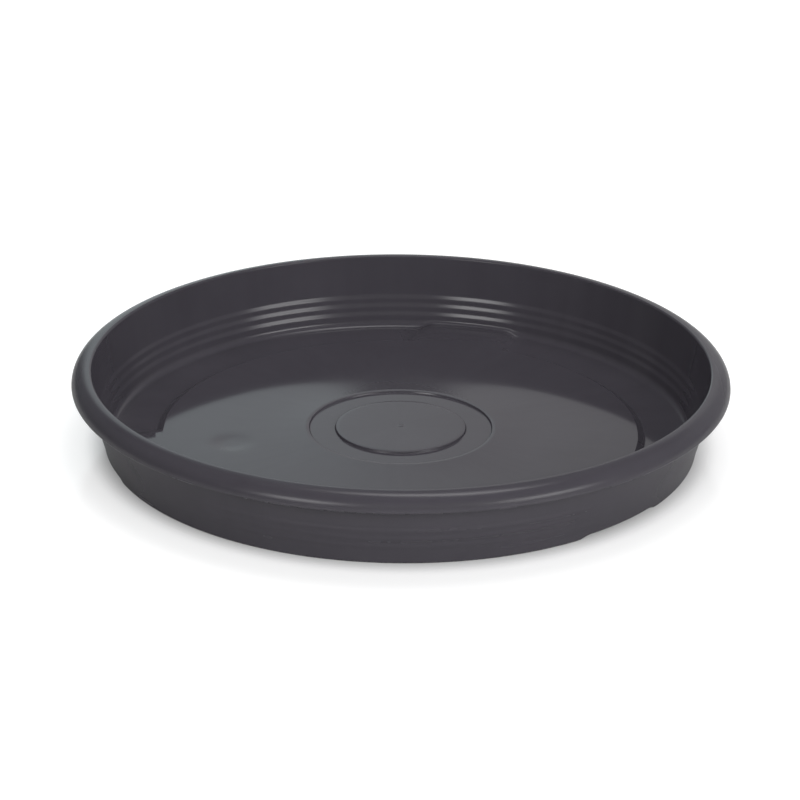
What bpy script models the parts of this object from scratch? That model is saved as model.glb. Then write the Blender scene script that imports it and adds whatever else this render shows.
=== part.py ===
"""A round plant saucer: one plastic moulding with a rolled rim, a stepped wall and a bridged foot ring.

The skin is a single outline turned about Z. Three bridges then lift the foot ring off the ground, so that
air and water can pass beneath. Front is -Y, and the ground is Z = 0.
"""
import math

import bmesh
import bpy
from mathutils import Matrix, Vector

# Driving sizes, in metres.
RIM_DIAMETER = 0.300
HEIGHT = 0.037
BASE_DIAMETER = 0.271
WALL = 0.0022

# Rolled rim: how far the lip stands in from the rim's widest circle, and how far the rim hangs down.
LIP_INSET = 0.0081
LIP_ROUND = 0.0011
RIM_DROP = 0.0075
RIM_EDGE_ROUND = 0.0007
RIM_ROOT_ROUND = 0.0010

# Steps in the wall, counted from the lowest.
STEP_COUNT = 3
STEP_DEPTH = 0.00046
STEP_RISE = 0.0018
STEP_PITCH = 0.0041
LOWEST_STEP = 0.00775
OUTER_STEP_DROP = 0.0005
STEP_ROUND = 0.0008

# Raised floor inside the foot ring.
FLOOR_DIAMETER = 0.2182
FLOOR_RAISE = 0.0020
FLOOR_RUN = 0.0031
FLOOR_EDGE_ROUND = 0.0010
CORNER_FILLET = 0.0032
BASE_ROUND = 0.0012

# The floor swells towards its middle. The moat's depth is from the swell, the disc's rise from the moat.
SWELL_DIAMETER = 0.170
SWELL_RAISE = 0.00062
MOAT_DIAMETER = 0.0844
MOAT_DEPTH = 0.0011
MOAT_RUN = 0.0004
DISC_DIAMETER = 0.0598
DISC_RISE = 0.0012
DISC_RUN = 0.00035
MOAT_EDGE_ROUND = 0.0004

# Bridges across the foot ring, placed by the angle from +X.
BRIDGE_COUNT = 3
BRIDGE_ANGLE = math.radians(22.0)
FIRST_BRIDGE = math.radians(-45.0)
BRIDGE_DROP = 0.0001
OVERLAP = 0.0012
CUT_MARGIN = 0.0030

# Facets.
TURN_STEPS = 72
BRIDGE_STEPS = 5
ROUND_TOLERANCE = 0.00005
LONGEST_ROUND = 0.5
LIP_POINTS = 4
RIM_POINTS = 7
HOLLOW_POINTS = 5
FILLET_POINTS = 4
MERGE_DISTANCE = 0.00001
SHARP_ANGLE = math.radians(40.0)

# Angles where the hollow of the rim nears its root, and where a bridge's fillet enters the wall.
HOLLOW_END = math.radians(66.0)
FILLET_END = math.radians(-15.0)
QUARTER = math.pi / 2

# Finish.
ANTHRACITE = (0.046, 0.044, 0.050, 1.0)
ROUGHNESS = 0.28

# Sizes that follow from the ones above.
RIM_RADIUS = RIM_DIAMETER / 2
BASE_RADIUS = BASE_DIAMETER / 2
FLOOR_RADIUS = FLOOR_DIAMETER / 2
SWELL_RADIUS = SWELL_DIAMETER / 2
MOAT_RADIUS = MOAT_DIAMETER / 2
DISC_RADIUS = DISC_DIAMETER / 2
CHANNEL_TOP = WALL
FLOOR_TOP = WALL + FLOOR_RAISE
SWELL_TOP = FLOOR_TOP + SWELL_RAISE
MOAT_TOP = SWELL_TOP - MOAT_DEPTH
DISC_TOP = MOAT_TOP + DISC_RISE
BRIDGE_TOP = FLOOR_TOP - BRIDGE_DROP
BRIDGE_UNDERSIDE = BRIDGE_TOP - WALL
LIP_RADIUS = RIM_RADIUS - LIP_INSET
INNER_BASE_RADIUS = BASE_RADIUS - WALL
INNER_LIP_RADIUS = LIP_RADIUS - LIP_ROUND
WALL_TOP = HEIGHT - LIP_ROUND
WALL_SLOPE = (INNER_LIP_RADIUS - INNER_BASE_RADIUS - STEP_COUNT * STEP_DEPTH) / WALL_TOP

# The swell steepens towards the moat: half-way in from its edge it has a sixth of its rise.
SWELL_MIDDLE = (SWELL_RADIUS + MOAT_RADIUS) / 2
SWELL_MIDDLE_RAISE = SWELL_RAISE / 6


def inner_radius(height, steps_below):
    """Radius of the wall's inner face at a height, above a number of steps."""
    return INNER_BASE_RADIUS + WALL_SLOPE * height + STEP_DEPTH * steps_below


def skin_shift(rise, run):
    """How far a corner of the underside stands to the side of its corner on top, in a skin of one thickness."""
    return WALL * math.tan(math.atan2(rise, run) / 2)


def ellipse(centre, half_width, half_height, start, end, points):
    """Points on an ellipse, from one angle to another."""
    found = []
    for index in range(points):
        angle = start + (end - start) * index / (points - 1)
        found.append((centre[0] + half_width * math.cos(angle), centre[1] + half_height * math.sin(angle)))
    return found


def rounded(corners):
    """Turn corners (radius, height, round) into a polyline whose corners are arcs."""
    line = []
    for index, (radius, height, roundness) in enumerate(corners):
        point = Vector((radius, height))
        if roundness == 0.0 or index in (0, len(corners) - 1):
            line.append(point)
            continue
        back = Vector(corners[index - 1][:2]) - point
        ahead = Vector(corners[index + 1][:2]) - point
        half = back.angle(ahead) / 2
        longest = LONGEST_ROUND * min(back.length, ahead.length)
        reach = min(roundness / math.tan(half), longest)
        size = reach * math.tan(half)
        centre = point + (back.normalized() + ahead.normalized()).normalized() * (size / math.sin(half))
        first = point + back.normalized() * reach - centre
        turn = first.angle_signed(point + ahead.normalized() * reach - centre)
        facet = 2 * math.acos(max(0.0, 1.0 - ROUND_TOLERANCE / size))
        count = math.ceil(abs(turn) / facet)
        for step in range(count + 1):
            swing = Matrix.Rotation(-turn * step / count, 2)
            line.append(centre + swing @ first)
    return line


def floor_corners():
    """Top of the moulding from the axis to the foot of the wall."""
    return [
        (0.0, DISC_TOP, 0.0),
        (DISC_RADIUS, DISC_TOP, MOAT_EDGE_ROUND),
        (DISC_RADIUS + DISC_RUN, MOAT_TOP, MOAT_EDGE_ROUND),
        (MOAT_RADIUS - MOAT_RUN, MOAT_TOP, MOAT_EDGE_ROUND),
        (MOAT_RADIUS, SWELL_TOP, MOAT_EDGE_ROUND),
        (SWELL_MIDDLE, FLOOR_TOP + SWELL_MIDDLE_RAISE, 0.0),
        (SWELL_RADIUS, FLOOR_TOP, 0.0),
        (FLOOR_RADIUS, FLOOR_TOP, FLOOR_EDGE_ROUND),
        (FLOOR_RADIUS + FLOOR_RUN, CHANNEL_TOP, FLOOR_EDGE_ROUND),
        (inner_radius(CHANNEL_TOP, 0), CHANNEL_TOP, CORNER_FILLET),
    ]


def step_corners(offset, drop):
    """The wall's steps from the lowest to the highest, for the inner face or the outer one."""
    corners = []
    for index in range(STEP_COUNT):
        foot = LOWEST_STEP + STEP_PITCH * index - drop
        top = foot + STEP_RISE
        corners.append((inner_radius(foot, index) + offset, foot, STEP_ROUND))
        corners.append((inner_radius(top, index + 1) + offset, top, STEP_ROUND))
    return corners


def rim_corners():
    """The lip, the rim's rolled outside, its lower edge and the hollow beneath it."""
    centre = (LIP_RADIUS, HEIGHT - RIM_DROP + RIM_EDGE_ROUND)
    width = LIP_INSET
    height = RIM_DROP - RIM_EDGE_ROUND
    lip = ellipse((LIP_RADIUS, WALL_TOP), LIP_ROUND, LIP_ROUND, math.pi, QUARTER, LIP_POINTS)
    outside = ellipse(centre, width, height, QUARTER, 0.0, RIM_POINTS)
    hollow = ellipse(centre, width - WALL, height - WALL, 0.0, HOLLOW_END, HOLLOW_POINTS)
    root_height = centre[1] + height - WALL
    root = (inner_radius(root_height, STEP_COUNT) + WALL, root_height, RIM_ROOT_ROUND)
    edge = HEIGHT - RIM_DROP
    corners = [(radius, level, 0.0) for radius, level in lip + outside[1:]]
    corners.append((RIM_RADIUS, edge, RIM_EDGE_ROUND))
    corners.append((RIM_RADIUS - WALL, edge, RIM_EDGE_ROUND))
    corners.extend((radius, level, 0.0) for radius, level in hollow)
    corners.append(root)
    return corners


def underside_corners():
    """Underside of the moulding from the base's outer corner to the axis."""
    floor_shift = skin_shift(FLOOR_RAISE, FLOOR_RUN)
    moat_shift = skin_shift(MOAT_DEPTH, MOAT_RUN)
    disc_shift = skin_shift(DISC_RISE, DISC_RUN)
    return [
        (BASE_RADIUS, 0.0, BASE_ROUND),
        (FLOOR_RADIUS + FLOOR_RUN - floor_shift, 0.0, 0.0),
        (FLOOR_RADIUS - floor_shift, FLOOR_RAISE, 0.0),
        (SWELL_RADIUS, FLOOR_RAISE, 0.0),
        (SWELL_MIDDLE, FLOOR_RAISE + SWELL_MIDDLE_RAISE, 0.0),
        (MOAT_RADIUS + moat_shift, SWELL_TOP - WALL, 0.0),
        (MOAT_RADIUS - MOAT_RUN + moat_shift, MOAT_TOP - WALL, 0.0),
        (DISC_RADIUS + DISC_RUN - disc_shift, MOAT_TOP - WALL, 0.0),
        (DISC_RADIUS - disc_shift, DISC_TOP - WALL, 0.0),
        (0.0, DISC_TOP - WALL, 0.0),
    ]


def saucer_outline():
    """The whole section, from the axis over the rim and back along the underside."""
    inside = floor_corners() + step_corners(0.0, 0.0)
    outside = list(reversed(step_corners(WALL, OUTER_STEP_DROP)))
    return rounded(inside + rim_corners() + outside + underside_corners())


def turned(name, outline, collection):
    """An object whose outline is turned once about Z."""
    mesh = bpy.data.meshes.new(name)
    vertices = [(point.x, 0.0, point.y) for point in outline]
    edges = [(index, index + 1) for index in range(len(outline) - 1)]
    mesh.from_pydata(vertices, edges, [])
    turned_object = bpy.data.objects.new(name, mesh)
    collection.objects.link(turned_object)
    screw = turned_object.modifiers.new("Turn", "SCREW")
    screw.steps = TURN_STEPS
    screw.render_steps = TURN_STEPS
    screw.use_merge_vertices = True
    screw.merge_threshold = MERGE_DISTANCE
    screw.use_smooth_shade = True
    return turned_object


def ring_sectors(name, section, collection):
    """One solid for each bridge: a section swept through the bridge's angle about Z."""
    solid = bmesh.new()
    for index in range(BRIDGE_COUNT):
        middle = FIRST_BRIDGE + 2 * math.pi * index / BRIDGE_COUNT
        start = Matrix.Rotation(middle - BRIDGE_ANGLE / 2, 4, "Z")
        ring = [solid.verts.new(start @ Vector((radius, 0.0, height))) for radius, height in section]
        loop = [solid.edges.new((ring[place - 1], ring[place])) for place in range(len(ring))]
        bmesh.ops.spin(solid, geom=ring + loop, axis=(0.0, 0.0, 1.0), cent=(0.0, 0.0, 0.0),
                       angle=BRIDGE_ANGLE, steps=BRIDGE_STEPS)
    bmesh.ops.holes_fill(solid, edges=solid.edges)
    bmesh.ops.recalc_face_normals(solid, faces=solid.faces)
    mesh = bpy.data.meshes.new(name)
    solid.to_mesh(mesh)
    solid.free()
    sectors = bpy.data.objects.new(name, mesh)
    sectors.display_type = "WIRE"
    sectors.hide_render = True
    collection.objects.link(sectors)
    return sectors


def bridge_section():
    """Section of a bridge: it fills the channel up to the floor, with the wall's own fillet at its end."""
    wall_radius = inner_radius(BRIDGE_TOP, 0)
    centre = (wall_radius - CORNER_FILLET, BRIDGE_TOP + CORNER_FILLET)
    fillet = ellipse(centre, CORNER_FILLET, CORNER_FILLET, -QUARTER, FILLET_END, FILLET_POINTS)
    buried = WALL / 2
    back = wall_radius + buried
    return [
        (FLOOR_RADIUS - OVERLAP, FLOOR_RAISE + buried),
        (FLOOR_RADIUS - OVERLAP, BRIDGE_TOP),
        *fillet,
        (back, BRIDGE_TOP + CORNER_FILLET),
        (back, buried),
        (FLOOR_RADIUS + FLOOR_RUN, buried),
    ]


def gap_section():
    """Section of the cut beneath a bridge, from the hollow under the floor to clear of the wall."""
    inner = FLOOR_RADIUS - CUT_MARGIN
    outer = BASE_RADIUS + CUT_MARGIN
    return [
        (inner, -CUT_MARGIN),
        (inner, BRIDGE_UNDERSIDE),
        (outer, BRIDGE_UNDERSIDE),
        (outer, -CUT_MARGIN),
    ]


def combine(target, tool, operation):
    """Join or cut with a live Boolean."""
    boolean = target.modifiers.new(tool.name, "BOOLEAN")
    boolean.object = tool
    boolean.operation = operation
    boolean.solver = "EXACT"


def plastic(name, colour, roughness):
    """A plain moulded plastic."""
    material = bpy.data.materials.new(name)
    material.use_nodes = True
    shader = material.node_tree.nodes["Principled BSDF"]
    shader.inputs["Base Color"].default_value = colour
    shader.inputs["Roughness"].default_value = roughness
    shader.inputs["Metallic"].default_value = 0.0
    material.diffuse_color = colour
    return material


def settle(target):
    """Apply the modifiers, then shade round faces smooth and keep the sharp edges."""
    evaluated = target.evaluated_get(bpy.context.evaluated_depsgraph_get())
    mesh = bpy.data.meshes.new_from_object(evaluated)
    mesh.name = target.name
    target.modifiers.clear()
    target.data = mesh
    mesh.shade_smooth()
    mesh.set_sharp_from_angle(angle=SHARP_ANGLE)


def main():
    for old in list(bpy.data.objects):
        bpy.data.objects.remove(old, do_unlink=True)
    scene = bpy.context.scene
    parts = bpy.data.collections.new("plant_saucer")
    cutters = bpy.data.collections.new("cutters")
    scene.collection.children.link(parts)
    scene.collection.children.link(cutters)

    saucer = turned("saucer", saucer_outline(), parts)
    combine(saucer, ring_sectors("bridges", bridge_section(), cutters), "UNION")
    combine(saucer, ring_sectors("bridge_gaps", gap_section(), cutters), "DIFFERENCE")
    settle(saucer)
    saucer.data.materials.clear()
    saucer.data.materials.append(plastic("anthracite_plastic", ANTHRACITE, ROUGHNESS))


main()
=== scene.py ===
# %% [markdown]
# # A plant saucer in Blender
# The object is a shallow round tray that stands under a flower pot and catches its water. It is one piece
# of glossy anthracite plastic, moulded in one shot: a rolled rim, a wall with three small steps, a raised
# floor, a ring-shaped moat with a disc in the middle, and a foot ring that is bridged in three places. The
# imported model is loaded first, because all that follows is placed in its frame: metres, Z up, front -Y.

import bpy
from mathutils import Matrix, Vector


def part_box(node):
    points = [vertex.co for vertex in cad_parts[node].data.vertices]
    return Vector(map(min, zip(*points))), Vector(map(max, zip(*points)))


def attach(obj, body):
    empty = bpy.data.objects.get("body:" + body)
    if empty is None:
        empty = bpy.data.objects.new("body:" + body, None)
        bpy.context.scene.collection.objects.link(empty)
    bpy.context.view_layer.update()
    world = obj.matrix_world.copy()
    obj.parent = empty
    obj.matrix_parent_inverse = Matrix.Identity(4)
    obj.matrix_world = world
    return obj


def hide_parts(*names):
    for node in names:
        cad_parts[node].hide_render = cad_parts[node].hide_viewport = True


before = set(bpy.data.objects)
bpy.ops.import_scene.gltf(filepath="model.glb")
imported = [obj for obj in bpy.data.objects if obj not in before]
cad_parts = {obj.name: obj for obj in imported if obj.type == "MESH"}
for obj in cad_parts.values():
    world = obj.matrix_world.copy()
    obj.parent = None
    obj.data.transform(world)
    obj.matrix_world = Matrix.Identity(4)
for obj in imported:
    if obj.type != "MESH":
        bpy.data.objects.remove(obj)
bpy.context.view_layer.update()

# %% Tools used throughout
import math

import bmesh
import bpy
from mathutils import Matrix, Vector

scene = bpy.context.scene
scene.view_settings.view_transform = "Standard"
MM = 0.001
print("view transform", scene.view_settings.view_transform)

# %% [markdown]
# ## The camera
# The photograph looks down on the saucer from about 23 degrees, through a long lens that keeps the ellipses
# of the rim and the base nearly alike. The camera could be aimed with a constraint, but a matrix of its own
# three axes also takes the slight roll of the picture, so the axes are worked out and set directly.

# %% Camera
CAMERA_DISTANCE = 1.350
CAMERA_RISE = 0.3952
CAMERA_ROLL = 0.0082
AIM = Vector((0.0, 0.0, 0.0195))

forward = Vector((0.0, math.cos(CAMERA_RISE), -math.sin(CAMERA_RISE)))
level_up = Vector((0.0, math.sin(CAMERA_RISE), math.cos(CAMERA_RISE)))
level_right = Vector((1.0, 0.0, 0.0))
right = level_right * math.cos(CAMERA_ROLL) + level_up * math.sin(CAMERA_ROLL)
up = level_up * math.cos(CAMERA_ROLL) - level_right * math.sin(CAMERA_ROLL)

camera = bpy.data.objects.new("camera", bpy.data.cameras.new("camera"))
camera.data.sensor_width = 36.0
camera.data.lens = 132.4
camera.data.shift_x = -0.0011
camera.data.shift_y = -0.0043
axes = Matrix((right, up, -forward)).transposed().to_4x4()
camera.matrix_world = Matrix.Translation(AIM - forward * CAMERA_DISTANCE) @ axes
scene.collection.objects.link(camera)
scene.camera = camera
print("camera at", [round(value, 3) for value in camera.matrix_world.translation])

# %% [markdown]
# ## The sizes of the moulding
# A moulded tray is a skin of one thickness, so nearly every size belongs to one line: the section that a
# saw would show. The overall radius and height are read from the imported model, and the rest repeats its
# sizes in millimetres. The finished surface then lies within about half a millimetre of the solid that the
# physics uses.

# %% Sizes
low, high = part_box("saucer")
RIM = (high.x - low.x) / 2
TOP = high.z
BASE = 135.5 * MM
WALL = 2.2 * MM

LIP_INSET = 8.1 * MM
LIP_ROUND = 1.1 * MM
RIM_DROP = 7.5 * MM
EDGE_ROUND = 0.7 * MM

STEPS = 3
STEP_DEPTH = 0.46 * MM
STEP_RISE = 2.6 * MM
STEP_PITCH = 4.1 * MM
LOWEST_STEP = 8.65 * MM
STEP_POINTS = 12
OUTER_START = 2.0 * MM
OUTER_RUN = 17.0 * MM
OUTER_TOP = 22.0 * MM
OUTER_POINTS = 7

FLOOR = 109.1 * MM
FLOOR_RAISE = 2.0 * MM
FLOOR_RUN = 3.1 * MM
FILLET = 3.6 * MM
SWELL = 85.0 * MM
SWELL_RAISE = 0.75 * MM
SWELL_POWER = 3.2
SWELL_PARTS = 20
MOAT = 42.2 * MM
MOAT_DEPTH = 1.1 * MM
MOAT_RUN = 0.4 * MM
DISC = 29.9 * MM
DISC_RISE = 1.2 * MM
DISC_RUN = 0.35 * MM
SHOULDER = 1.5 * MM
SHOULDER_DROP = 0.10 * MM
SHOULDER_ROUND = 7.0 * MM

LIP = RIM - LIP_INSET
INNER_BASE = BASE - WALL
WALL_TOP = TOP - LIP_ROUND
SLOPE = (LIP - LIP_ROUND - INNER_BASE - STEPS * STEP_DEPTH) / WALL_TOP
print("wall leans", round(math.degrees(math.atan(SLOPE)), 2), "degrees, between its steps")

# %% [markdown]
# ## The section: rounded corners
# A mould has no knife edges, and on glossy plastic each small rounding draws its own bright line. The
# section is written as a short list of corners, each with its radius. This helper turns every corner into
# an arc. A Bevel modifier could round the turned mesh instead, but it has one width, and here the radii
# differ.

# %% Rounding helper
ARC_STEP = math.radians(13.0)


def arc_at(corner, before, after, radius):
    """Points of the arc that rounds one corner of the section."""
    point = Vector(corner)
    back = Vector(before) - point
    ahead = Vector(after) - point
    half = back.angle(ahead) / 2
    reach = min(radius / math.tan(half), 0.9 * min(back.length, ahead.length))
    centre = point + (back.normalized() + ahead.normalized()).normalized() * (reach / math.cos(half))
    first = point + back.normalized() * reach - centre
    turn = first.angle_signed(point + ahead.normalized() * reach - centre)
    count = max(3, math.ceil(abs(turn) / ARC_STEP))
    return [centre + Matrix.Rotation(-turn * step / count, 2) @ first for step in range(count + 1)]


def rounded(corners):
    """A line of points from corners (radius, height, rounding)."""
    line = [Vector(corners[0][:2])]
    for before, corner, after in zip(corners, corners[1:], corners[2:]):
        if corner[2]:
            line.extend(arc_at(corner[:2], before[:2], after[:2], corner[2]))
        else:
            line.append(Vector(corner[:2]))
    line.append(Vector(corners[-1][:2]))
    return line


print("arcs in steps of", round(math.degrees(ARC_STEP)), "degrees")

# %% [markdown]
# ## The section: the floor and the stepped wall
# From the axis outwards the top of the moulding runs over the disc, down into the moat, up to the floor,
# down into the channel above the foot ring, and round a fillet into the wall. Around the moat the floor
# swells by three quarters of a millimetre, which the photograph shows by the bend of the wall's reflection.
# The edges of the moat and the disc end in soft shoulders, a tenth of a millimetre deep, which draw their
# thin lines. The wall leans out and steps back three times, along soft waves. On the outside the steps run
# together.

# %% Floor and wall
CHANNEL_TOP = WALL
FLOOR_TOP = WALL + FLOOR_RAISE
SWELL_TOP = FLOOR_TOP + SWELL_RAISE
MOAT_TOP = SWELL_TOP - MOAT_DEPTH
DISC_TOP = MOAT_TOP + DISC_RISE


def floor_height(radius):
    """Height of the floor, which swells towards the moat, steeper and steeper."""
    return FLOOR_TOP + SWELL_RAISE * max(0.0, (SWELL - radius) / (SWELL - MOAT)) ** SWELL_POWER


def soft_step(height, start, run):
    """A soft step from 0 to 1, over a run of height."""
    share = min(1.0, max(0.0, (height - start) / run))
    return share * share * (3.0 - 2.0 * share)


def wall_radius(height):
    """Inner radius of the wall at a height: it leans out, and each step sets it back along a soft wave."""
    starts = [LOWEST_STEP + STEP_PITCH * index - STEP_RISE / 2 for index in range(STEPS)]
    steps = sum(soft_step(height, start, STEP_RISE) for start in starts)
    return INNER_BASE + SLOPE * height + STEP_DEPTH * steps


def outer_radius(height):
    """Outer radius of the wall at a height: here the steps run together in one slow wave."""
    return BASE + SLOPE * height + STEPS * STEP_DEPTH * soft_step(height, OUTER_START, OUTER_RUN)


swell_radii = [MOAT + (SWELL - MOAT) * index / SWELL_PARTS for index in range(1, SWELL_PARTS + 1)]
floor_line = [
    (DISC - SHOULDER, DISC_TOP, SHOULDER_ROUND),
    (DISC, DISC_TOP - SHOULDER_DROP, 0.4 * MM),
    (DISC + DISC_RUN, MOAT_TOP, 0.35 * MM),
    (MOAT - MOAT_RUN, MOAT_TOP, 0.4 * MM),
    (MOAT, floor_height(MOAT + SHOULDER) - SHOULDER_DROP, 0.3 * MM),
    (MOAT + SHOULDER, floor_height(MOAT + SHOULDER), SHOULDER_ROUND),
    *((radius, floor_height(radius), 0.0) for radius in swell_radii),
    (FLOOR, FLOOR_TOP, 0.5 * MM),
    (FLOOR + FLOOR_RUN, CHANNEL_TOP, 1.0 * MM),
    (wall_radius(CHANNEL_TOP), CHANNEL_TOP, FILLET),
]
step_shares = [index / STEP_POINTS - 0.5 for index in range(STEPS * STEP_POINTS + 1)]
step_heights = [LOWEST_STEP + STEP_PITCH * share for share in step_shares]
inner_line = [(wall_radius(level), level, 0.0) for level in step_heights]
outer_heights = [OUTER_TOP - STEP_PITCH * index / OUTER_POINTS for index in range(5 * OUTER_POINTS)]
outer_line = [(outer_radius(level), level, 0.0) for level in outer_heights]
print("steps from", round(step_heights[0] / MM, 1), "to", round(step_heights[-1] / MM, 1), "mm")

# %% [markdown]
# ## The section: the gate mark
# The plastic enters the mould at the middle of the disc, and a shallow dish with a small nib is left there.
# It lies on the axis, so it costs no more than a few points in the section: a soft dip, and a bump in it.

# %% Gate mark
DISH = 6.0 * MM
DISH_DEPTH = 0.05 * MM
NIB = 1.5 * MM
NIB_HEIGHT = 0.09 * MM


def gate_height(radius):
    """Height of the disc's top near the axis."""
    dip = DISH_DEPTH * max(0.0, 1.0 - (radius / DISH) ** 2) ** 2
    nib = NIB_HEIGHT * max(0.0, 1.0 - (radius / NIB) ** 4)
    return DISC_TOP - dip + nib


gate_line = [(share * DISH, gate_height(share * DISH), 0.0) for share in
             (0.0, 0.08, 0.15, 0.2, 0.23, 0.25, 0.28, 0.35, 0.5, 0.65, 0.8, 1.0)]
print("gate nib stands", round((gate_line[0][1] - DISC_TOP) / MM, 2), "mm above the disc")

# %% [markdown]
# ## The section: the rolled rim and the underside
# The rim turns over like a quarter of an ellipse and hangs down, hollow below, with a small rounded edge.
# The underside follows the floor at one wall's thickness, so its corners are shifted by the tangent of half
# the slope: that keeps a skin even round a bend.

# %% Rim and underside
QUARTER = math.pi / 2


def ellipse(centre, width, height, start, end, points):
    """Points (radius, height, no rounding) on a part of an ellipse."""
    angles = [start + (end - start) * index / (points - 1) for index in range(points)]
    offsets = [(width * math.cos(angle), height * math.sin(angle)) for angle in angles]
    return [(centre[0] + out, centre[1] + rise, 0.0) for out, rise in offsets]


def shift(rise, run):
    """How far a corner of the underside stands beside its corner on top."""
    return WALL * math.tan(math.atan2(rise, run) / 2)


rim_centre = (LIP, TOP - RIM_DROP + EDGE_ROUND)
rim_height = RIM_DROP - EDGE_ROUND
lip_line = ellipse((LIP, WALL_TOP), LIP_ROUND, LIP_ROUND, math.pi, QUARTER, 9)
rim_line = ellipse(rim_centre, LIP_INSET, rim_height, QUARTER, 0.0, 20)[1:]
edge_line = [(RIM, TOP - RIM_DROP, EDGE_ROUND), (RIM - WALL, TOP - RIM_DROP, EDGE_ROUND)]
hollow_line = ellipse(rim_centre, LIP_INSET - WALL, rim_height - WALL, 0.0, math.radians(66.0), 9)
root_height = rim_centre[1] + rim_height - WALL
root_line = [(wall_radius(root_height) + WALL, root_height, 1.0 * MM)]

floor_shift = shift(FLOOR_RAISE, FLOOR_RUN)
moat_shift = shift(MOAT_DEPTH, MOAT_RUN)
disc_shift = shift(DISC_RISE, DISC_RUN)
under_line = [
    (BASE, 0.0, 1.2 * MM),
    (FLOOR + FLOOR_RUN - floor_shift, 0.0, 0.4 * MM),
    (FLOOR - floor_shift, FLOOR_RAISE, 0.4 * MM),
    *((radius, floor_height(radius) - WALL, 0.0) for radius in reversed(swell_radii[3::4])),
    (MOAT + moat_shift, SWELL_TOP - WALL, 0.4 * MM),
    (MOAT - MOAT_RUN + moat_shift, MOAT_TOP - WALL, 0.4 * MM),
    (DISC + DISC_RUN - disc_shift, MOAT_TOP - WALL, 0.4 * MM),
    (DISC - disc_shift, DISC_TOP - WALL, 0.4 * MM),
    (0.0, DISC_TOP - WALL, 0.0),
]
section = rounded(gate_line + floor_line + inner_line + lip_line + rim_line + edge_line
                  + hollow_line + root_line + outer_line + under_line)
print("section has", len(section), "points before its straight runs are divided")

# %% [markdown]
# ## Guard points
# Smooth shading blends the normals of neighbouring faces. Where a long flat run meets a tiny arc, the blend
# would bend the whole flat, and the reflections in it would swim. A guard point close to each end of a long
# run keeps the bend in the arc. The swell is a curve of its own and needs none. The flat run of the floor
# is also divided, because a shallow mark is pressed into it.

# %% Divide the straight runs
GUARD = 0.16 * MM
LONG_RUN = 0.9 * MM
FLOOR_SPACING = 2.2 * MM


def guarded(line):
    """The line with guard points at the ends of its long runs, and the floor's run divided."""
    found = [line[0]]
    for start, end in zip(line, line[1:]):
        run = end - start
        on_swell = start.x <= SWELL and end.x <= SWELL and max(start.x, end.x) > MOAT + SHOULDER
        if run.length > LONG_RUN and not on_swell:
            along = run.normalized() * GUARD
            inner_start, inner_end = start + along, end - along
            on_floor = abs(start.y - FLOOR_TOP) < 0.01 * MM and abs(end.y - FLOOR_TOP) < 0.01 * MM
            parts = math.ceil(run.length / FLOOR_SPACING) if on_floor else 1
            found.extend(inner_start.lerp(inner_end, index / parts) for index in range(parts + 1))
        found.append(end)
    return found


section = guarded(section)
print("section has", len(section), "points")

# %% [markdown]
# ## One class for node expressions
# Both the shape and the finish below are sums: angles, masks, soft steps. Wiring Math nodes one at a time
# hides the sum, so this small class wraps a socket and overloads the operators. Writing `1 - mask` then
# adds a Subtract node. Every other node comes from one method, which sets the settings first and the
# sockets next.

# %% Node expressions
class Wire:
    """A socket of a node tree, on which arithmetic adds Math nodes."""

    def __init__(self, tree, socket=None):
        self.tree = tree
        self.socket = socket

    def node(self, kind, settings=None, sockets=None, output=0):
        """Add a node of any kind and return one of its outputs."""
        made = self.tree.nodes.new(kind)
        for name, setting in (settings or {}).items():
            setattr(made, name, setting)
        for name, value in (sockets or {}).items():
            if isinstance(value, Wire):
                self.tree.links.new(value.socket, made.inputs[name])
            else:
                made.inputs[name].default_value = value
        return Wire(self.tree, made.outputs[output])

    def math(self, operation, *values):
        """Add a Math node."""
        return self.node("ShaderNodeMath", {"operation": operation}, dict(enumerate(values)))

    def split(self):
        """The X, Y and Z of this vector."""
        parts = self.node("ShaderNodeSeparateXYZ", None, {"Vector": self}).socket.node.outputs
        return [Wire(self.tree, part) for part in parts]

    def __add__(self, other):
        return self.math("ADD", self, other)

    def __radd__(self, other):
        return self.math("ADD", other, self)

    def __sub__(self, other):
        return self.math("SUBTRACT", self, other)

    def __rsub__(self, other):
        return self.math("SUBTRACT", other, self)

    def __mul__(self, other):
        return self.math("MULTIPLY", self, other)

    def __rmul__(self, other):
        return self.math("MULTIPLY", other, self)

    def __truediv__(self, other):
        return self.math("DIVIDE", self, other)

    def __rtruediv__(self, other):
        return self.math("DIVIDE", other, self)

    def __pow__(self, other):
        return self.math("POWER", self, other)

    def __abs__(self):
        return self.math("ABSOLUTE", self)

    def between(self, start, end, first=0.0, last=1.0, smooth=True):
        """Map start..end to first..last, with a soft or a straight slope."""
        kind = "SMOOTHSTEP" if smooth else "LINEAR"
        sockets = {"Value": self, "From Min": start, "From Max": end, "To Min": first, "To Max": last}
        return self.node("ShaderNodeMapRange", {"interpolation_type": kind, "clamp": True}, sockets)


print("node expressions ready")

# %% [markdown]
# ## The shape as a rule: a Geometry Nodes lathe
# A lathe sweeps one section round a circle. The Screw modifier would do that alone, but this saucer breaks
# the rule in three places: at each bridge the foot ring is lifted, so that water and air can pass under it.
# In Geometry Nodes the sweep and the lift fit in one tree, with the bridges' count, angle and lift as
# inputs. The tree's inputs come first.

# %% Tree and inputs
lathe = bpy.data.node_groups.new("saucer_lathe", "GeometryNodeTree")
lathe.interface.new_socket("Section", in_out="INPUT", socket_type="NodeSocketGeometry")
lathe.interface.new_socket("Saucer", in_out="OUTPUT", socket_type="NodeSocketGeometry")
lathe_inputs = {}


def lathe_input(name, kind, value):
    """Declare a named input of the tree and keep its value for the modifier."""
    socket = lathe.interface.new_socket(name, in_out="INPUT", socket_type=kind)
    lathe_inputs[name] = (socket.identifier, value)


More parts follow.
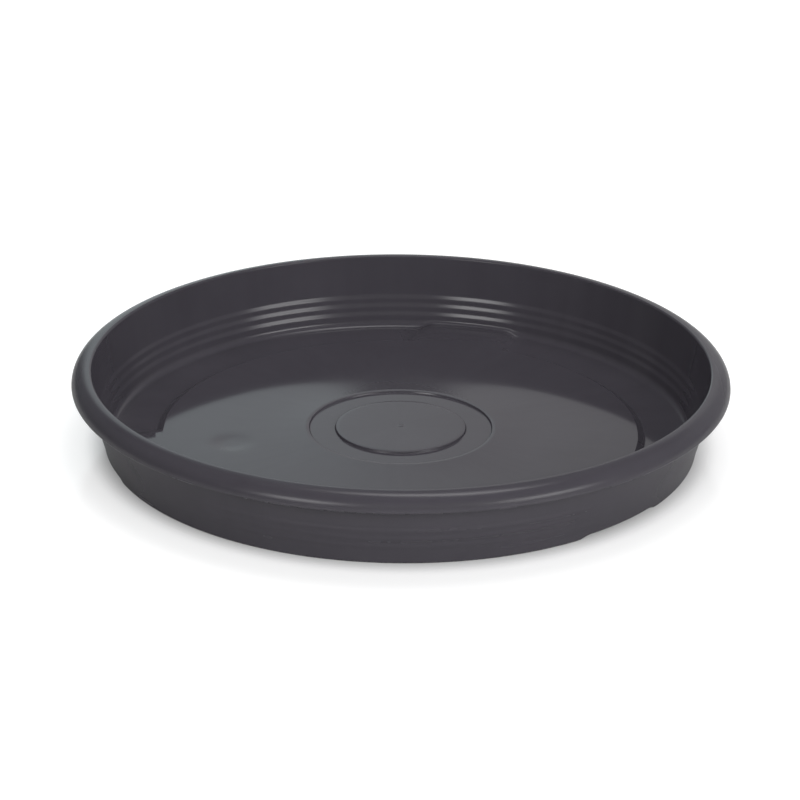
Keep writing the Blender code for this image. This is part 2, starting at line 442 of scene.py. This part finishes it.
lathe_input("Stations", "NodeSocketInt", 300)
lathe_input("Path Radius", "NodeSocketFloat", RIM)
lathe_input("Bridges", "NodeSocketInt", 3)
lathe_input("First Bridge", "NodeSocketFloat", math.radians(-45.0))
lathe_input("Bridge Half Angle", "NodeSocketFloat", math.radians(9.4))
lathe_input("Bridge Flare", "NodeSocketFloat", math.radians(3.8))
lathe_input("Bridge Ramp", "NodeSocketFloat", math.radians(1.2))
lathe_input("Bridge Lift", "NodeSocketFloat", FLOOR_RAISE)
lathe_input("Mark Circle", "NodeSocketFloat", 78.8 * MM)
lathe_input("Mark Radius", "NodeSocketFloat", 12.0 * MM)
lathe_input("Mark Angle", "NodeSocketFloat", math.radians(193.6))
lathe_input("Mark Depth", "NodeSocketFloat", 0.44 * MM)
lathe_input("Row Depth", "NodeSocketFloat", 0.1 * MM)
lathe_input("Finish", "NodeSocketMaterial", None)

group_in = lathe.nodes.new("NodeGroupInput")
group_out = lathe.nodes.new("NodeGroupOutput")
given = {socket.name: Wire(lathe, socket) for socket in group_in.outputs if socket.name}
start = Wire(lathe)
print("lathe inputs:", ", ".join(lathe_inputs))

# %% [markdown]
# ## Sweep the section
# The path is the rim's own circle, and the section is drawn relative to it: across by its distance from the
# rim, and down by its height, because a path that runs this way round turns a section's Y axis over. Curve
# to Mesh sets the section at each station of the path. Both ends of the section lie on the axis, where all
# the stations meet, so Merge by Distance closes the poles.

# %% Sweep
path = start.node("GeometryNodeCurvePrimitiveCircle", None,
                  {"Resolution": given["Stations"], "Radius": given["Path Radius"]})
outline = start.node("GeometryNodeMeshToCurve", None, {"Mesh": given["Section"]})
swept = start.node("GeometryNodeCurveToMesh", None, {"Curve": path, "Profile Curve": outline})
turned = start.node("GeometryNodeMergeByDistance", None, {"Geometry": swept, "Distance": 0.001 * MM})
print("swept", len(section), "points round the rim circle")

# %% [markdown]
# ## Angle within one bridge's share
# Every point needs to know its radius, its angle, and how far round it is from the nearest bridge. Wrapping
# the angle into one share of the circle gives that for any number of bridges. The stations are also drawn
# together at the ends of a bridge, where the ring steps: the body is round, so sliding points along the
# circle does not change its form, only where the detail is.

# %% Polar coordinates
across, depth, height = start.node("GeometryNodeInputPosition").split()
radius = (across * across + depth * depth) ** 0.5
angle = start.math("ARCTAN2", depth, across)
share = math.pi / given["Bridges"]
phase = start.math("WRAP", angle - given["First Bridge"], share, share * -1.0)

DRAW = math.radians(6.0)
near_wall = radius.between(FLOOR, INNER_BASE, smooth=False)
half_angle = given["Bridge Half Angle"] + given["Bridge Flare"] * (1.0 - near_wall)
beyond = abs(phase) - half_angle
near_end = start.math("LESS_THAN", abs(beyond), DRAW)
drawn = beyond * abs(beyond) / DRAW
beyond_drawn = beyond + (drawn - beyond) * near_end
phase_drawn = (beyond_drawn + half_angle) * start.math("SIGN", phase)
angle_drawn = angle + (phase_drawn - phase)
print("stations drawn together within", round(math.degrees(DRAW)), "degrees of a bridge's end")

# %% [markdown]
# ## Lift the bridges
# A bridge raises the channel, and the foot below it, to the floor's height, and it flares towards the
# floor. The lift is a product of soft masks: inside the bridge's angle, outside the floor's edge, and below
# the lowest step. The wall leans, so what is lifted also moves out along the lean, and the fillet stays on
# it.

# %% Bridge masks
ramp = given["Bridge Ramp"]
in_bridge = beyond_drawn.between(ramp * -1.0, ramp, 1.0, 0.0)
underside = start.math("LESS_THAN", height, CHANNEL_TOP - 0.1 * MM)
flat_level = FLOOR_TOP - underside * WALL
on_slope = start.math("GREATER_THAN", radius, FLOOR - 2.0 * MM)
fall = ((flat_level - height) / FLOOR_RAISE).between(0.0, 1.0, smooth=False) * on_slope
past_slope = start.math("GREATER_THAN", radius, FLOOR + FLOOR_RUN + 1.5 * MM)
off_floor = start.math("MAXIMUM", fall, past_slope)
below_steps = height.between(2.6 * MM, 6.6 * MM, 1.0, 0.0, smooth=False)
below_steps = start.math("MAXIMUM", below_steps, 1.0 - past_slope)
at_fillet = radius.between(INNER_BASE - FILLET, INNER_BASE, 1.0, 0.7)
lift = given["Bridge Lift"] * in_bridge * off_floor * below_steps * at_fillet
print("bridges lift the ring by", round(FLOOR_RAISE / MM, 2), "mm")

# %% [markdown]
# ## Press in an ejector mark
# Pins push the moulding out of its mould, and one can leave a shallow round mark. The photograph shows one
# clearly, on the floor at the left, in line with a bridge. It is less than half a millimetre deep, but on
# gloss plastic that bends the reflections, so it is in the mesh and not only in the finish.

# %% Ejector mark
mark_turn = angle_drawn - given["Mark Angle"]
mark_x = radius * start.math("COSINE", mark_turn) - given["Mark Circle"]
mark_y = radius * start.math("SINE", mark_turn)
mark_distance = (mark_x * mark_x + mark_y * mark_y) ** 0.5
mark = mark_distance.between(given["Mark Radius"] * 0.25, given["Mark Radius"], 1.0, 0.0)
on_top = start.math("GREATER_THAN", height, FLOOR_TOP - 0.05 * MM)
pressed = given["Mark Depth"] * mark * on_top
print("mark pressed in at a radius of", round(lathe_inputs["Mark Circle"][1] / MM, 1), "mm")

# %% [markdown]
# ## Rows on the outside
# The inside steps show on the outside as three faint rows, a tenth of a millimetre high. The photograph
# shows them at the front and no more at the sides, so the rows are a cosine of the height, times soft
# masks: the height of the steps, the outer face of the wall, and the front.

# %% Outside rows
ROWS_FULL = 0.92
ROWS_GONE = 0.62
row_turn = (height - LOWEST_STEP) * (2.0 * math.pi / STEP_PITCH)
from_middle = abs(height - (LOWEST_STEP + STEP_PITCH))
in_rows = from_middle.between(1.2 * STEP_PITCH, 1.7 * STEP_PITCH, 1.0, 0.0)
slow_wave = height.between(OUTER_START, OUTER_START + OUTER_RUN, 0.0, STEPS * STEP_DEPTH)
middle_radius = height * SLOPE + slow_wave + (BASE - WALL / 2)
outer_face = start.math("GREATER_THAN", radius, middle_radius)
in_front = (depth / radius).between(-ROWS_FULL, -ROWS_GONE, 1.0, 0.0)
rows = given["Row Depth"] * start.math("COSINE", row_turn) * in_rows * outer_face * in_front
fade = [round(math.degrees(math.acos(value))) for value in (ROWS_FULL, ROWS_GONE)]
print("rows fade between", fade[0], "and", fade[1], "degrees from the front")

# %% [markdown]
# ## Close the tree
# The new radius, angle and height become a position again. The tree then ends as every tree here does:
# smooth faces, Realize Instances, and Set Material, so that what leaves it is plain mesh.

# %% Finish the tree
new_radius = radius + lift * near_wall * SLOPE + rows
new_place = start.node("ShaderNodeCombineXYZ", None, {
    "X": new_radius * start.math("COSINE", angle_drawn),
    "Y": new_radius * start.math("SINE", angle_drawn),
    "Z": height + lift - pressed,
})
moved = start.node("GeometryNodeSetPosition", None, {"Geometry": turned, "Position": new_place})
smooth = start.node("GeometryNodeSetShadeSmooth", None, {"Geometry": moved})
realized = start.node("GeometryNodeRealizeInstances", None, {"Geometry": smooth})
coated = start.node("GeometryNodeSetMaterial", None, {"Geometry": realized, "Material": given["Finish"]})
lathe.links.new(coated.socket, group_out.inputs["Saucer"])
print("lathe tree has", len(lathe.nodes), "nodes")

# %% [markdown]
# ## The finish: anthracite gloss plastic
# The saucer is moulded from dark grey plastic with a hint of violet, in a polished mould. Such a surface is
# smooth but never perfect: the colour varies a little where the melt flowed, the gloss is uneven, the
# surface waves slightly, and handling leaves fine scratches and some dust. All of it is kept faint. The
# patterns read Object coordinates, which are metres in the frame.

# %% Material and coordinates
plastic = bpy.data.materials.new("anthracite_plastic")
plastic.use_nodes = True
plastic.node_tree.nodes.clear()
paint = Wire(plastic.node_tree)
spot = paint.node("ShaderNodeTexCoord", output="Object")
spot_x, spot_y, spot_z = spot.split()
spot_radius = (spot_x * spot_x + spot_y * spot_y) ** 0.5
spot_angle = paint.math("ARCTAN2", spot_y, spot_x)
print("material", plastic.name)

# %% [markdown]
# ## Flow of the melt
# The plastic flows from the gate to the rim, and pigment draws out into faint rays along the way. A noise
# that is stretched along the radius makes them: its coordinates are the sine and cosine of the angle, which
# close up where the angle itself would jump, and the radius on a coarse scale.

# %% Flow rays and clouds
def around(reach, along):
    """Coordinates that close up round the axis: a circle of some reach, and one more value."""
    return paint.node("ShaderNodeCombineXYZ", None, {
        "X": paint.math("COSINE", spot_angle) * reach,
        "Y": paint.math("SINE", spot_angle) * reach,
        "Z": along,
    })


def noise(place, scale, detail, rough=0.5):
    """A noise with a scale in patches per unit of its coordinates."""
    sockets = {"Vector": place, "Scale": scale, "Detail": detail, "Roughness": rough}
    return paint.node("ShaderNodeTexNoise", None, sockets)


rays = noise(around(9.0, spot_radius * 18.0), 1.6, 3.0, 0.55)
clouds = noise(spot, 22.0, 4.0, 0.6)
tone = (rays - 0.5) * 0.35 + (clouds - 0.5) * 0.8
print("flow rays and clouds shift the tone by a few per cent")

# %% [markdown]
# ## Dust, a rubbed foot, and a painted highlight on the rim's edge
# Dust settles as tiny pale specks on faces that look up. The foot ring is rubbed a shade lighter where it
# stands on the ground. Along the rim's lower edge, short faint pale dashes are a painted highlight,
# standing in for the thin light line that the edge catches. The masks come from the height, the radius and
# the normal, in the object's own frame.

# %% Dust, rub and painted highlight masks
facing_x, facing_y, facing_up = paint.node("ShaderNodeTexCoord", output="Normal").split()
outside = ((facing_x * spot_x + facing_y * spot_y) / spot_radius).between(-0.1, 0.3)
steep = facing_up.between(0.35, 0.85, 1.0, 0.0)
speck = paint.node("ShaderNodeTexVoronoi", {"feature": "F1"}, {"Vector": spot, "Scale": 260.0})
speck_size = noise(spot, 130.0, 1.0)
dust = (speck_size * 0.16 - speck).between(0.0, 0.03) * facing_up.between(0.3, 0.9)
grit = noise(spot, 900.0, 2.0)
foot_rub = spot_z.between(0.3 * MM, 1.1 * MM, 1.0, 0.0)
# Painted highlight: pale dashes along the rim's lower edge, in place of the light line that it catches.
painted_edge_highlight = abs(spot_z - (TOP - RIM_DROP)).between(0.15 * MM, 0.7 * MM, 1.0, 0.0)
painted_edge_highlight = painted_edge_highlight * spot_radius.between(RIM - 3.0 * MM, RIM - 0.6 * MM)
dashes = noise(around(16.0, spot_z * 320.0), 1.0, 2.0)
# Wear on the foot, plus the painted highlight along the rim's lower edge.
rub_and_painted_highlight = foot_rub * grit.between(0.42, 0.68) * 0.8 + painted_edge_highlight * dashes.between(0.4, 0.8) * 0.2
print("dust on faces that look up, rub on the foot and the rim's edge")

# %% [markdown]
# ## Base colour
# The colour is anthracite, made a little lighter and darker by the tone, then paler where dust lies, where
# the foot is rubbed, and in a painted highlight along the rim's lower edge. Colours go through Mix nodes,
# because a
# Math node would turn them grey.

# %% Base colour
ANTHRACITE = (0.0645, 0.0595, 0.0715, 1.0)
DARK = tuple(value * 0.84 for value in ANTHRACITE[:3]) + (1.0,)
LIGHT = tuple(value * 1.16 for value in ANTHRACITE[:3]) + (1.0,)
DUST = (0.20, 0.195, 0.19, 1.0)
# Pale for the rubbed foot, and for the painted highlight on the rim's lower edge.
RUBBED_AND_HIGHLIGHT = (0.085, 0.083, 0.088, 1.0)


def mixed(amount, first, second):
    """A colour between two colours, in the tree of the amount."""
    return amount.node("ShaderNodeMix", {"data_type": "RGBA"}, {0: amount, 6: first, 7: second}, output=2)


colour = mixed(tone + 0.5, DARK, LIGHT)
colour = mixed(dust * 0.03, colour, DUST)
colour = mixed(rub_and_painted_highlight * 0.6, colour, RUBBED_AND_HIGHLIGHT)
print("base colour about", ANTHRACITE[:3])

# %% [markdown]
# ## Gloss
# The polished mould gives a gloss in which the wall is mirrored in the floor with a nearly sharp edge, and
# a roughness of 0.06 does that. Steep faces are a little duller, and the outside is dullest. The roughness
# also rises in faint clouds, in fine scratches along circles, where a pot has turned, where dust lies,
# where the foot is rubbed, and along the rim's edge, where its highlight is painted.

# %% Roughness
scratches = noise(around(0.35, spot_radius * 260.0), 4.0, 1.5)
scratch = scratches.between(0.60, 0.74) * clouds.between(0.40, 0.62)
roughness = 0.06 + steep * 0.08 + outside * 0.12
roughness = roughness + (clouds - 0.5) * 0.04 + scratch * 0.02 + dust * 0.08 + rub_and_painted_highlight * 0.30
print("roughness about 0.06 on the floor, 0.14 on the wall and 0.26 outside")

# %% [markdown]
# ## Bump
# Moulded plastic shrinks as it cools, and its flats wave by a few thousandths of a millimetre. A slow noise
# gives the wave and a fine one the grain. The heights are in metres, so the Bump node's distance is 1.

# %% Bump and shader
wave = noise(spot, 42.0, 1.0)
grain = noise(spot, 1400.0, 2.0)
relief = wave * (0.01 * MM) + grain * (0.0004 * MM)
bump = paint.node("ShaderNodeBump", None, {"Height": relief, "Distance": 1.0, "Strength": 1.0})
shader = paint.node("ShaderNodeBsdfPrincipled", None, {
    "Base Color": colour,
    "Roughness": roughness,
    "Normal": bump,
    "IOR": 1.5,
})
output = plastic.node_tree.nodes.new("ShaderNodeOutputMaterial")
plastic.node_tree.links.new(shader.socket, output.inputs["Surface"])
print("finish has", len(plastic.node_tree.nodes), "nodes")

# %% [markdown]
# ## Turn the saucer
# The section becomes a line of edges, the lathe runs on it, and the result is kept as a plain mesh. Inputs
# of a modifier are set by their identifiers before it first runs. The normals are then made to point out of
# the plastic, and the mesh is measured: one closed body.

# %% Turn and keep
section_mesh = bpy.data.meshes.new("section")
section_points = [(point.x - RIM, -point.y, 0.0) for point in section]
section_mesh.from_pydata(section_points, [(index, index + 1) for index in range(len(section) - 1)], [])
blank = bpy.data.objects.new("blank", section_mesh)
scene.collection.objects.link(blank)
turning = blank.modifiers.new("lathe", "NODES")
turning.node_group = lathe
for identifier, value in lathe_inputs.values():
    turning[identifier] = value
turning[lathe_inputs["Finish"][0]] = plastic
blank.update_tag()

evaluated = blank.evaluated_get(bpy.context.evaluated_depsgraph_get())
saucer_mesh = bpy.data.meshes.new_from_object(evaluated)
saucer_mesh.name = "saucer_skin"
bpy.data.objects.remove(blank, do_unlink=True)

body = bmesh.new()
body.from_mesh(saucer_mesh)
bmesh.ops.recalc_face_normals(body, faces=body.faces)
open_edges = sum(1 for edge in body.edges if len(edge.link_faces) != 2)
volume = body.calc_volume(signed=True)
body.to_mesh(saucer_mesh)
body.free()
triangles = sum(len(face.vertices) - 2 for face in saucer_mesh.polygons)
print("saucer:", triangles, "triangles,", open_edges, "open edges,", round(volume * 1e6, 1), "cubic cm")

# %% [markdown]
# ## Put the saucer in the frame
# The finished piece sits at the origin, unturned. It rides on the body of the model, and stands for its
# solid.

# %% Ride and replace
saucer = bpy.data.objects.new("saucer_skin", saucer_mesh)
scene.collection.objects.link(saucer)
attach(saucer, "root")
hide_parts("saucer")
print("saucer spans", [round(value / MM, 1) for value in saucer.dimensions], "mm")

# %% [markdown]
# ## The floor
# The saucer stands on a plain white table. A diffuse white under soft light comes out light grey, so the
# table adds a glow of its own where the camera sees it, and a tenth of that in reflections. Near the foot
# the
# glow fades: that is painted shade, a darker ring that stands for a contact shadow, on top of the real
# shadow that it lets show. A thin coat there adds a soft mirror image.

# %% Floor
FLOOR_WHITE = (0.62, 0.62, 0.62, 1.0)
FLOOR_GLOW = 0.68

table = bpy.data.materials.new("white_table")
table.use_nodes = True
table.node_tree.nodes.clear()
ground = Wire(table.node_tree)
seen = ground.node("ShaderNodeLightPath", output="Is Camera Ray")
mirrored = Wire(table.node_tree, seen.socket.node.outputs["Is Glossy Ray"])
through = Wire(table.node_tree, seen.socket.node.outputs["Is Transmission Ray"])
shown = seen + (mirrored + through) * 0.1
ground_x, ground_y = ground.node("ShaderNodeTexCoord", output="Object").split()[:2]
distance = (ground_x * ground_x + ground_y * ground_y) ** 0.5
# Painted shade: the glow drops near the foot, which darkens a ring there as a contact shadow.
glow_and_painted_shade = distance.between(0.133, 0.147, 0.20, FLOOR_GLOW)
glow_and_shade_colour = mixed(shown * glow_and_painted_shade, (0.0, 0.0, 0.0, 1.0), (1.0, 1.0, 1.0, 1.0))
table_shader = ground.node("ShaderNodeBsdfPrincipled", None, {
    "Base Color": FLOOR_WHITE,
    "Roughness": 0.2,
    "Specular IOR Level": 0.3,
    "Coat Weight": distance.between(0.14, 0.168, 0.6, 0.0),
    "Coat Roughness": 0.05,
    "Emission Color": glow_and_shade_colour,
    "Emission Strength": 1.0,
})
table_output = table.node_tree.nodes.new("ShaderNodeOutputMaterial")
table.node_tree.links.new(table_shader.socket, table_output.inputs["Surface"])

floor_mesh = bpy.data.meshes.new("floor")
FLOOR_HALF = 6.0
FLOOR_LEVEL = -0.1 * MM
corners = [(x * FLOOR_HALF, y * FLOOR_HALF, FLOOR_LEVEL) for x, y in ((-1, -1), (1, -1), (1, 1), (-1, 1))]
floor_mesh.from_pydata(corners, [], [(0, 1, 2, 3)])
floor_mesh.materials.append(table)
floor = bpy.data.objects.new("floor", floor_mesh)
scene.collection.objects.link(floor)
print("floor at", round(FLOOR_LEVEL / MM, 1), "mm")

# %% [markdown]
# ## The studio around
# Gloss shows what stands around it. Behind the saucer the photograph's studio is bright on the left and
# dimmer on the right, and the floor of the saucer mirrors just that. The world paints such a studio: a
# bright wall at the back that ends about 30 degrees up, and a dim front, a little lighter on the right and
# from above. The world's own direction drives it, so it stays put in every view.

# %% World
world = bpy.data.worlds.new("studio")
scene.world = world
world.use_nodes = True
world.node_tree.nodes.clear()
sky = Wire(world.node_tree)
toward_x, toward_y, toward_z = sky.node("ShaderNodeTexCoord", output="Generated").split()
side = sky.math("ARCTAN2", toward_x, toward_y)
BACK_RIGHT = 0.48
BACK_LEFT = 0.70
FRONT = 0.15
LEFT = 0.12
RIGHT = 0.21
COOL = (0.91, 1.02, 1.04, 1.0)
NEUTRAL = (0.98, 0.985, 1.0, 1.0)
behind = toward_y.between(0.3, 0.8)
rightward = side.between(math.radians(-5.0), math.radians(4.0))
back_level = BACK_LEFT + rightward * (BACK_RIGHT - BACK_LEFT)
back_level = back_level * toward_z.between(0.49, 0.60, 1.0, 0.35)
back_level = back_level * side.between(math.radians(-24.0), math.radians(-11.0), 0.18, 1.0)
back_level = back_level * side.between(math.radians(12.0), math.radians(30.0), 1.0, 0.65)
front_right = toward_x.between(0.35, 0.9, FRONT, RIGHT)
front_left = toward_x.between(-0.9, -0.35, LEFT - FRONT, 0.0)
front_level = (front_right + front_left) * toward_z.between(0.5, 0.95, 1.0, 0.0)
front_level = front_level + toward_z.between(0.5, 0.8, 0.0, 0.08)
level = front_level + (back_level - front_level) * behind
tint = mixed(behind * (1.0 - rightward), NEUTRAL, COOL)
background = sky.node("ShaderNodeBackground", None, {"Color": tint, "Strength": level})
world_output = world.node_tree.nodes.new("ShaderNodeOutputWorld")
world.node_tree.links.new(background.socket, world_output.inputs["Surface"])
print("studio level", BACK_LEFT, "to", BACK_RIGHT, "behind,", LEFT, "to", RIGHT, "in front")

# %% [markdown]
# ## The lamps
# Two soft boxes stand at the front, left and right, 25 and 20 degrees up: their streaks lie on the rolled
# rim and along the steps. A third hangs overhead. Their light fades towards their edges, so the streaks
# have soft ends. Two wide fills give the plain level of light and don't show in the gloss. They are area
# lamps, which are soft by their size, and none shows to the camera.

# %% Lamps
def soft_box(name, azimuth, rise, distance, width, tall, level, mirrored=True):
    """An area lamp that faces the saucer; azimuth 0 is the camera's side, positive to the right."""
    data = bpy.data.lights.new(name, "AREA")
    data.shape = "RECTANGLE"
    data.size = width
    data.size_y = tall
    data.energy = 4.0 * width * tall * level
    data.use_nodes = True
    data.node_tree.nodes.clear()
    box = Wire(data.node_tree)
    sideways, upwards = box.node("ShaderNodeNewGeometry", output="Parametric").split()[:2]
    soft_sides = abs(sideways - 0.5).between(0.15, 0.5, 1.0, 0.0)
    soft_ends = abs(upwards - 0.5).between(0.0, 0.5, 1.0, 0.0)
    emission = box.node("ShaderNodeEmission", None, {"Strength": soft_sides * soft_ends})
    light_output = data.node_tree.nodes.new("ShaderNodeOutputLight")
    data.node_tree.links.new(emission.socket, light_output.inputs["Surface"])
    lamp = bpy.data.objects.new(name, data)
    flat = math.cos(math.radians(rise))
    aim = Vector((math.sin(math.radians(azimuth)) * flat, -math.cos(math.radians(azimuth)) * flat,
                  math.sin(math.radians(rise))))
    lamp.location = aim * distance
    lamp.rotation_mode = "QUATERNION"
    lamp.rotation_quaternion = aim.to_track_quat("Z", "Y")
    lamp.visible_camera = False
    lamp.visible_glossy = mirrored
    scene.collection.objects.link(lamp)
    return lamp


lamps = [
    soft_box("front_left", -32.0, 25.0, 1.6, 0.9, 0.8, 3.5),
    soft_box("front_right", 48.0, 20.0, 1.6, 1.15, 0.8, 3.0),
    soft_box("overhead", 152.0, 77.0, 1.5, 1.1, 0.7, 2.2),
    soft_box("fill", 19.0, 26.0, 1.6, 2.4, 1.4, 3.25, mirrored=False),
    soft_box("back_fill", 180.0, 72.0, 1.6, 1.6, 1.4, 2.9, mirrored=False),
]
print("lamps:", ", ".join(lamp.name for lamp in lamps))
